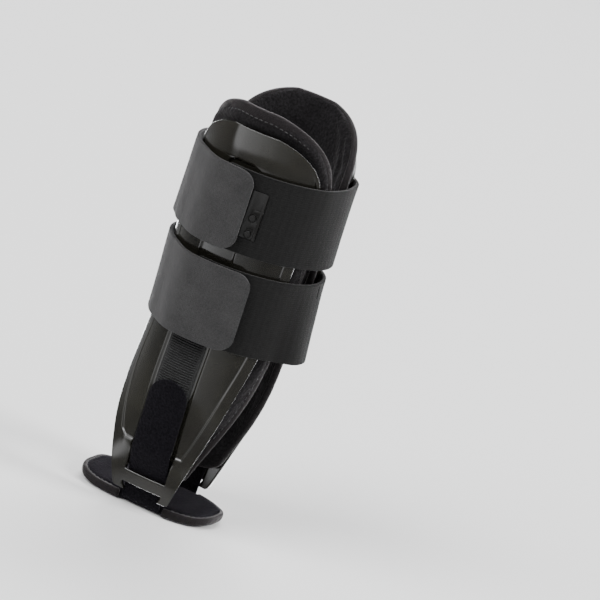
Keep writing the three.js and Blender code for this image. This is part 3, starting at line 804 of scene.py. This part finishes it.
def strap_points(name, low, angle, up, lift):
    """Points on a strap's path round both shells; up runs from 0 to 1 across its width."""
    strap = STRAPS[name]
    z = low + STRAP["width"] * up
    sine = np.sin(angle)
    span = np.where(sine > 0, mix(*strap["front"], up), mix(*strap["rear"], up))
    half_axis = mix(girth(z, sine), span, smoothstep(np.abs(sine), STRAP["side"], 1))
    x = (half_axis + lift) * sine
    y = -(reach(z) + lift) * np.cos(angle)
    return np.stack(np.broadcast_arrays(x, y, z), -1) * MM


def strap_lift(angle):
    past = np.degrees(angle) - 360
    return mix(STRAP["lift"], STRAP["tab_lift"], smoothstep(past, *CLIMB))


def strap_piece(name, low, label, angles, bodies, bend, square, cut=0.0, kept=None, rows=WEB_ROWS):
    """One length of a strap. cut is how far in from either edge of the webbing it starts, at each angle."""
    width = STRAP["width"]
    cut = np.broadcast_to(cut, (1, len(angles)))
    up = (cut + rows[:, None] / width * (width - 2 * cut)) / width
    angle = np.broadcast_to(angles[None, :], up.shape)
    ripple = 0.1 * np.sin(7 * angle + 9 * up) * np.sin(4 * angle - 3 * up)
    base = strap_lift(angle) + ripple
    inner = strap_points(name, low, angle, up, base)
    outer = strap_points(name, low, angle, up, base + STRAP["web"])
    uv = np.stack([angle * STRAP["radius"], up * width], -1) * MM
    obj = sheet(f"{name}_{label}_webbing", outer, inner, uv, kept, square)
    subdivide(obj, 2)
    ends = [strap_points(name, low, math.radians(a), 0.5, 1.5) for a in bend]
    nodes, material = WEBBING[label]
    replaced = [f"{name}_strap_{node}" for node in nodes]
    dress(obj, material, blend=(*bodies, *ends), replaces=replaced)


def anchor_length(name, low):
    """The strap's start, with an opening round the clip that holds it."""
    middle = low + STRAP["width"] / 2
    start = angle_at(STRAP["start"], middle)
    opening = angle_at(STRAPS[name]["clip_end"] + CLIP_OPENING["gap"], middle)
    open_columns = 7
    angles = np.concatenate([
        np.linspace(start, opening, open_columns + 1),
        [opening + math.radians(0.9)],
        np.radians(np.linspace(math.degrees(opening) + 3, CUTS["front"], 27)),
    ])
    edge = STRAP["width"] / 2 - CLIP_OPENING["half"]
    rows = np.array(EDGE_ROWS + [edge - 0.8, edge, 18, 25.5])
    beside = list(rows).index(edge)
    rows = np.concatenate([rows, STRAP["width"] - rows[-2::-1]])
    kept = np.ones((len(rows) - 1, len(angles) - 1), bool)
    kept[beside:-beside, :open_columns] = False
    strap_piece(name, low, "anchor", angles, ("lateral_side", f"{name}_front"), BENDS["front"],
                (False, True), kept=kept, rows=rows)


def tab_length(name, low):
    """The strap's end, whose two corners are rounded."""
    end = 2 * math.pi + angle_at(STRAPS[name]["tab_end"], low + STRAP["width"] / 2)
    corner_start = end - STRAP["corner"] / girth(low, 1)
    stretch = np.linspace(math.radians(CUTS["root"]), corner_start, 22)
    angles = np.concatenate([stretch, bunched(corner_start, end, 8)[1:]])
    past = STRAP["corner"] - (end - angles) * girth(low, 1)
    strap_piece(name, low, "tab", angles, (f"{name}_root", f"{name}_tab"), BENDS["tab"],
                (True, False), cut=rounded_step(past, STRAP["corner"] - 0.001))


def leg_strap(name):
    low = node_span(f"{name}_strap_medial")[0]
    anchor_length(name, low)
    for label, following in zip(CUTS, list(CUTS)[1:]):
        start, end = CUTS[label], CUTS[following]
        angles = np.radians(np.linspace(start, end, int((end - start) / STRAP["grid"]) + 1))
        strap_piece(name, low, label, angles, (f"{name}_{label}", f"{name}_{following}"),
                    BENDS[following], (True, True))
    tab_length(name, low)


# ---------------------------------------------------------------- stirrup strap

HEEL = {"half": 13.0, "thick": 2.0, "bulge": 1.6}
# Each length up one side: the height at which it ends, the two bodies it joins, and where it bends.
HEEL_LENGTHS = {
    "riser": (10.7, "heel_base", "riser", (3.0, 7.5)),
    "throat": (30.0, "riser", "side", (12.0, 21.0)),
    "tab": (None, "side", "heel_tab", (32.0, 43.0)),
}
# The start of its centre line, from under the pad up to the bar: (distance out from the middle, height).
HEEL_BEND = [(18, 2.5), (24, 2.5), (28.4, 3.0), (30.3, 6.5), (30.5, 10.7)]


def corner_cut(points, times=3):
    """Smooths a line by cutting its corners, keeping both ends."""
    points = np.asarray(points, float)
    for _ in range(times):
        a, b = points[:-1], points[1:]
        inner = np.stack([mix(a, b, 0.25), mix(a, b, 0.75)], 1).reshape(-1, 2)
        points = np.vstack([points[:1], inner[1:-1], points[-1:]])
    return points


def heel_line():
    """The whole centre line, from under the pad to the tab's tip, as (distance out, height).
    Above the bend it keeps a depth in from the shell's outer surface at each height: behind the bar,
    out through the window, and folded up over the hook strip."""
    tip = node_span("lateral_heel_strap_tab")[1]
    throat = [(z, 4.3) for z in (14, 18.2, 22.5)]
    out = [(27, 3.2), (31.5, 0.6), (36, -1.2), (42, -1.0 - HEEL["bulge"]), (52, -0.9 - 0.4 * HEEL["bulge"])]
    tab = [(z, -0.8) for z in np.linspace(62, tip, 4)]
    side = [(float(reach(z)) - depth, z) for z, depth in throat + out + tab]
    line = corner_cut(HEEL_BEND + side)
    steps = np.concatenate([[0], np.cumsum(np.linalg.norm(np.diff(line, axis=0), axis=1))])
    even = np.linspace(0, steps[-1], 110)
    return np.stack([np.interp(even, steps, line[:, k]) for k in range(2)], -1), even


def heel_lengths(side, word):
    """The strap up one side, curved like the shell across its width."""
    line, along = heel_line()
    tangent = np.gradient(line, axis=0)
    tangent /= np.linalg.norm(tangent, axis=1, keepdims=True)
    normal = np.stack([tangent[:, 1], -tangent[:, 0]], -1)
    tip = line[-1, 1]
    past = np.maximum(0, line[:, 1] - (tip - HEEL["half"]))
    blunt = 0.4  # keeps the round tip's last row from closing to a point
    half = np.sqrt(np.maximum(HEEL["half"] ** 2 - past**2, blunt))
    across = np.array([-1, -0.94, -0.8, -0.4, 0, 0.4, 0.8, 0.94, 1])
    x = half[:, None] * across[None, :]
    height = line[:, 1]
    curve = (1 - np.cos(angle_at(x, height[:, None]))) * reach(height)[:, None]
    curve *= smoothstep(height, 4, 9)[:, None]
    edge_droop = 0.25 * (np.abs(across) > 0.9)[None, :]

    def skin(offset):
        middle = line + normal * offset
        y = side * (middle[:, :1] - curve - edge_droop * np.sign(offset))
        z = np.broadcast_to(middle[:, 1:], x.shape)
        return np.stack([x, y, z], -1) * MM

    outer, inner = skin(HEEL["thick"] / 2), skin(-HEEL["thick"] / 2)
    uv = np.stack(np.broadcast_arrays(along[:, None] * MM, x * MM), -1)
    first = 0
    for part, (cut, parent, child, bend) in HEEL_LENGTHS.items():
        last = int(np.argmin(np.abs(height - cut))) if cut else len(line) - 1
        grids = [np.swapaxes(grid[first:last + 1], 0, 1) for grid in (outer, inner, uv)]
        first = last
        obj = sheet(f"{word}_heel_strap_{part}_web", *grids, square_ends=(True, cut is not None))
        subdivide(obj, 1)
        bodies = [body if body == "heel_base" else f"{word}_{body}" for body in (parent, child)]
        ends = [(0, side * float(np.interp(z, height, line[:, 0])) * MM, z * MM) for z in bend]
        node = f"{word}_heel_strap_{part}"
        dress(obj, "heel_strap", blend=(*bodies, *ends), replaces=[node])


def sole_length():
    """The strap's flat length through the heel pad."""
    low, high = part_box("heel_strap_sole")
    across = np.array([-1, -0.94, -0.5, 0, 0.5, 0.94, 1]) * HEEL["half"]
    ys = np.linspace(-HEEL_BEND[0][0], HEEL_BEND[0][0], 9)
    x, y = np.meshgrid(across, ys, indexing="ij")
    middle = (low.z + high.z) / 2 / MM
    level = lambda offset: np.stack([x, y, np.full(x.shape, middle + offset)], -1) * MM
    thick = HEEL["thick"] / 2
    uv = np.stack([y * MM, x * MM], -1)
    obj = sheet("heel_strap_sole_web", level(thick), level(-thick), uv, square_ends=(True, True))
    subdivide(obj, 1)
    dress(obj, "heel_strap", "heel_base", replaces=["heel_strap_sole"])


# ---------------------------------------------------------------- heel pad

PAD = {
    "power": {1: 2.4, -1: 3.2}, "rise": {1: 2, -1: 3}, "rise_from": 30, "gap": 15.0,
    "past_tape": 1.2, "inset": 1.4, "bound": 2.0, "half": 28.2, "puff": 9,
    "top": 6.4, "low": 0.25, "edge_top": 4.6, "edge_low": 1.6,
}
PAD_TAPE = {"width": 3.6, "middle": 3.4, "half": 2.9, "around": 14, "seam": 1.0, "seam_top": 6.15}


def pad_box():
    """The pad's reach to the front, to the rear and to each side."""
    rear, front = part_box("heel_pad_rear_binding"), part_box("heel_pad_front_binding")
    return {1: front[1].x / MM, -1: -rear[0].x / MM}, front[1].y / MM + PAD["past_tape"]


def by_end(x, values):
    """The front's value where x is to the front, and the rear's elsewhere."""
    return np.where(np.asarray(x) < 0, values[-1], values[1])


def rise(x):
    """How far the pad's ends curve up."""
    past = np.maximum(0, np.abs(x) - PAD["rise_from"])
    return by_end(x, PAD["rise"]) * (past / (by_end(x, pad_box()[0]) - PAD["rise_from"])) ** 2


def pad_width(x, inset):
    lengths, width = pad_box()
    power = by_end(x, PAD["power"])
    share = np.clip(np.abs(x) / (by_end(x, lengths) - inset), 0, 1)
    return (width - inset) * (1 - share**power) ** (1 / power)


def pad_cushion():
    """The pad between its edge tapes: flat underneath, softly crowned on top."""
    inset = PAD["inset"]
    lengths = pad_box()[0]
    xs = bunched(0, 0.995, 16)
    xs = np.concatenate([(inset - lengths[-1]) * xs[:0:-1], (lengths[1] - inset) * xs])
    across = np.linspace(-1, 1, 19)
    width = np.minimum(pad_width(xs, inset), PAD["half"])
    x = np.broadcast_to(xs[None, :], (len(across), len(xs)))
    y = across[:, None] * width[None, :]
    to_side = (1 - np.abs(across))[:, None] * width[None, :]
    to_edge = np.minimum(to_side, by_end(x, lengths) - inset - np.abs(x))
    puff = dome(to_edge, PAD["puff"])
    top = mix(PAD["edge_top"], PAD["top"], puff) + rise(x)
    low = mix(PAD["edge_low"], PAD["low"], puff) + rise(x)
    outer, inner = (np.stack([x, y, z], -1) * MM for z in (top, low))
    obj = sheet("heel_pad_cushion", outer, inner, np.stack([x, y], -1) * MM)
    bound, underside = to_edge < PAD["bound"], np.ones_like(x, bool)
    puff_up(obj, np.stack([bound, underside]).ravel(), pressure=5.0, slack=0.03, most=1.0)
    subdivide(obj, 1)
    dress(obj, "heel_pad", "heel_base",
          replaces=["heel_pad_sole", "heel_pad_foam", "heel_pad_top"])


def pad_binding(end, word):
    """The edge tape round one end of the pad."""
    length = pad_box()[0][end]
    turn, tip = length * 0.8, length * 0.998
    xs = np.concatenate([np.linspace(PAD["gap"], turn, 14), bunched(turn, tip, 10)[1:]])
    points = [(end * x, pad_width(end * x, 0)) for x in xs]
    path = np.array(points + [(x, -y) for x, y in points[::-1]])
    tangent = np.gradient(path, axis=0)
    tangent /= np.linalg.norm(tangent, axis=1, keepdims=True)
    inward = np.stack([-tangent[:, 1], tangent[:, 0]], -1)
    inward *= -np.sign(np.sum(inward * path, axis=1))[:, None]
    across, out = oval(12)
    share = (across + 1) / 2 * PAD_TAPE["width"]
    flat = path[:, None, :] + inward[:, None, :] * share[None, :, None]
    z = PAD_TAPE["middle"] + out[None, :] * PAD_TAPE["half"] + rise(flat[..., 0])
    sections = np.concatenate([flat, z[..., None]], -1) * MM
    along = loop_lengths(path)[:-1] * MM
    uv = tape_uv(along, PAD_TAPE["around"], len(across))
    obj = subdivide(tube(f"heel_pad_{word}_edge_tape", sections, closed=False, uv=uv), 1)
    dress(obj, "binding", "heel_base", replaces=[f"heel_pad_{word}_binding"])
    seam = path + inward * (PAD_TAPE["width"] - PAD_TAPE["seam"])
    seam_path = np.column_stack([seam, PAD_TAPE["seam_top"] + rise(seam[:, 0])])[3:-3] * MM
    up = np.broadcast_to([0.0, 0.0, 1.0], seam_path.shape)
    sewn = stitches(f"heel_pad_{word}_stitches", seam_path, up, closed=False)
    dress(sewn, "thread", "heel_base")


# ---------------------------------------------------------------- pieces kept from the frame

def keep_node(node, slot, bevel):
    """A CAD node that stays in view, with softened edges and its own finish."""
    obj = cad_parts[node]
    paint(obj, slot)
    weld = obj.modifiers.new("Weld", "WELD")
    weld.merge_threshold = 0.00001
    soften = obj.modifiers.new("Soften", "BEVEL")
    soften.width = bevel * MM
    soften.segments = 3
    soften.limit_method = "ANGLE"
    soften.angle_limit = math.radians(38)
    soften.harden_normals = True
    obj.data.shade_smooth()


def kept_nodes():
    for name in STRAPS:
        keep_node(f"{name}_strap_clip", "clip", 0.35)
        keep_node(f"{name}_strap_tab_hook", "hook", 0.2)
        keep_node(f"medial_{name}_strap_patch", "hook", 0.2)
        for number in (1, 2):
            keep_node(f"{name}_clip_rivet_{number}", "rivet", 0.25)
    for word in SIDES:
        for number in (1, 2, 3):
            keep_node(f"{word}_liner_hook_{number}", "hook", 0.2)


# ---------------------------------------------------------------- floor, light and camera

CAMERA = {
    "azimuth": 18.25, "elevation": 14.8, "roll": 19.4, "distance": 3.044, "lens": 299.7,
    "aim_height": 0.130, "aim_right": 0.0464, "aim_up": 0.0044,
}
LIGHT_DISTANCE = 4
# Azimuth, elevation, size and power.
LIGHTS = {
    "left": (-34, 45, (2.4, 3.0), 190),
    "right": (100, 30, (1.6, 2.4), 190),
    "back": (190, 50, (2.4, 1.6), 150),
}


def floor():
    size = 30.0
    mesh = bpy.data.meshes.new("floor")
    corners = [(-size, -size, 0), (size, -size, 0), (size, size, 0), (-size, size, 0)]
    mesh.from_pydata(corners, [], [(0, 1, 2, 3)])
    obj = bpy.data.objects.new("floor", mesh)
    bpy.context.scene.collection.objects.link(obj)
    m = Material("pale_floor", (0.93, 0.93, 0.93), 0.9)
    m.vary_color(m.noise(1.5, 1.0), (0.92, 0.92, 0.92), (0.94, 0.94, 0.94))
    m.set(**{"Specular IOR Level": 0.0})
    obj.data.materials.append(m.material)
    obj.visible_glossy = False


def soft_light(name, azimuth, elevation, size, power):
    light = bpy.data.lights.new(name, "AREA")
    light.shape = "RECTANGLE"
    light.size, light.size_y = size
    light.energy = power
    obj = bpy.data.objects.new(name, light)
    target = Vector((0, 0, CAMERA["aim_height"]))
    obj.location = target + direction(azimuth, elevation) * LIGHT_DISTANCE
    obj.rotation_euler = (target - obj.location).to_track_quat("-Z", "Y").to_euler()
    obj.visible_glossy = False
    bpy.context.scene.collection.objects.link(obj)


def direction(azimuth, elevation):
    """From the object towards a viewer; azimuth 0 looks along +Y."""
    a, e = math.radians(azimuth), math.radians(elevation)
    return Vector((math.sin(a) * math.cos(e), -math.cos(a) * math.cos(e), math.sin(e)))


# What polished surfaces mirror, by angle round from the camera's side: degrees, brightness of the tall
# screens, which reach to the floor, and of the short one, which doesn't.
REFLECTED = [
    (-180, 1.2, 0), (-174, 1.2, 0), (-172, 30, 0), (-161, 30, 0), (-159, 0.5, 0), (-74, 0.2, 0),
    (-69, 0.3, 3), (-54, 0.3, 2.5), (-25, 0.3, 1.5), (5, 0.3, 0.5), (35, 0.3, 0), (116, 0.5, 0),
    (118, 30, 0), (133, 30, 0), (135, 0.8, 0), (180, 1.2, 0),
]
# By height: where the short screen ends, and how bright it is well below and overhead.
SCREEN_END = {"From Min": -0.43, "From Max": -0.37}
BELOW = {"From Min": -0.55, "From Max": -0.66, "To Max": 0.9}
OVERHEAD = {"From Min": 0.5, "From Max": 0.8, "To Max": 14.0}
EVEN = 0.25  # the light on everything else


def surroundings(tree):
    """Even pale light, in which polished surfaces mirror softly graded screens round the object."""
    n = Nodes(tree)
    where = n.add("ShaderNodeTexCoord").outputs["Generated"]

    def along(axis):
        dot = n.add("ShaderNodeVectorMath", {"operation": "DOT_PRODUCT"}, _0=where, _1=axis)
        return dot.outputs["Value"]

    height = along((0, 0, 1))

    def by_height(values):
        step = n.add("ShaderNodeMapRange", {"interpolation_type": "SMOOTHSTEP"}, Value=height, **values)
        return step.outputs["Result"]

    azimuth = CAMERA["azimuth"]
    turn = n.math("ARCTAN2", along(direction(azimuth + 90, 0)), along(direction(azimuth, 0)))
    ramp = n.add("ShaderNodeValToRGB", _0=n.math("ADD", n.math("DIVIDE", turn, 2 * math.pi), 0.5))
    brightest = max(tall for _, tall, _ in REFLECTED)
    stops = ramp.color_ramp.elements
    while len(stops) < len(REFLECTED):
        stops.new(0.5)
    for stop, (angle, *levels) in zip(stops, REFLECTED):
        stop.position = (angle + 180) / 360
        stop.color = (*(level / brightest for level in levels), 0, 1)
    tall, short, _ = n.add("ShaderNodeSeparateColor", _0=ramp.outputs["Color"]).outputs

    short = n.math("MULTIPLY", short, by_height(SCREEN_END))
    screens = n.math("MULTIPLY", n.math("ADD", tall, short), brightest)
    mirrored = n.math("ADD", screens, n.math("ADD", by_height(OVERHEAD), by_height(BELOW)))
    glossy = n.add("ShaderNodeLightPath").outputs["Is Glossy Ray"]
    even = n.math("MULTIPLY", n.math("SUBTRACT", 1.0, glossy), EVEN)
    background = tree.nodes["Background"]
    n.join((0.97, 0.98, 1.0, 1), background.inputs["Color"])
    n.join(n.math("ADD", n.math("MULTIPLY", mirrored, glossy), even), background.inputs["Strength"])


def lights():
    world = bpy.data.worlds.new("studio")
    world.use_nodes = True
    surroundings(world.node_tree)
    bpy.context.scene.world = world
    for name, settings in LIGHTS.items():
        soft_light(name, *settings)


def camera():
    lens = bpy.data.cameras.new("camera")
    lens.sensor_width = 36
    lens.lens = CAMERA["lens"]
    lens.clip_end = 100
    obj = bpy.data.objects.new("camera", lens)
    bpy.context.scene.collection.objects.link(obj)
    back = direction(CAMERA["azimuth"], CAMERA["elevation"])
    upright = (-back).to_track_quat("-Z", "Y").to_matrix()
    rolled = upright @ Matrix.Rotation(math.radians(CAMERA["roll"]), 3, "Z")
    subject = Vector((0, 0, CAMERA["aim_height"]))
    target = subject + rolled @ Vector((CAMERA["aim_right"], CAMERA["aim_up"], 0))
    eye = subject + back * CAMERA["distance"]
    aim = (target - eye).to_track_quat("-Z", "Y").to_matrix()
    aim = aim @ Matrix.Rotation(math.radians(CAMERA["roll"]), 3, "Z")
    obj.matrix_world = Matrix.Translation(eye) @ aim.to_4x4()
    bpy.context.scene.camera = obj


# ---------------------------------------------------------------- assembly

for word, side in SIDES.items():
    shell(side, word)
    hook_strip(side, word)
    liner_pad(side, word)
    liner_binding(side, word)
    heel_lengths(side, word)
sole_length()
pad_cushion()
pad_binding(1, "front")
pad_binding(-1, "rear")
for name in STRAPS:
    leg_strap(name)
kept_nodes()

floor()
lights()
camera()

bpy.context.view_layer.update()
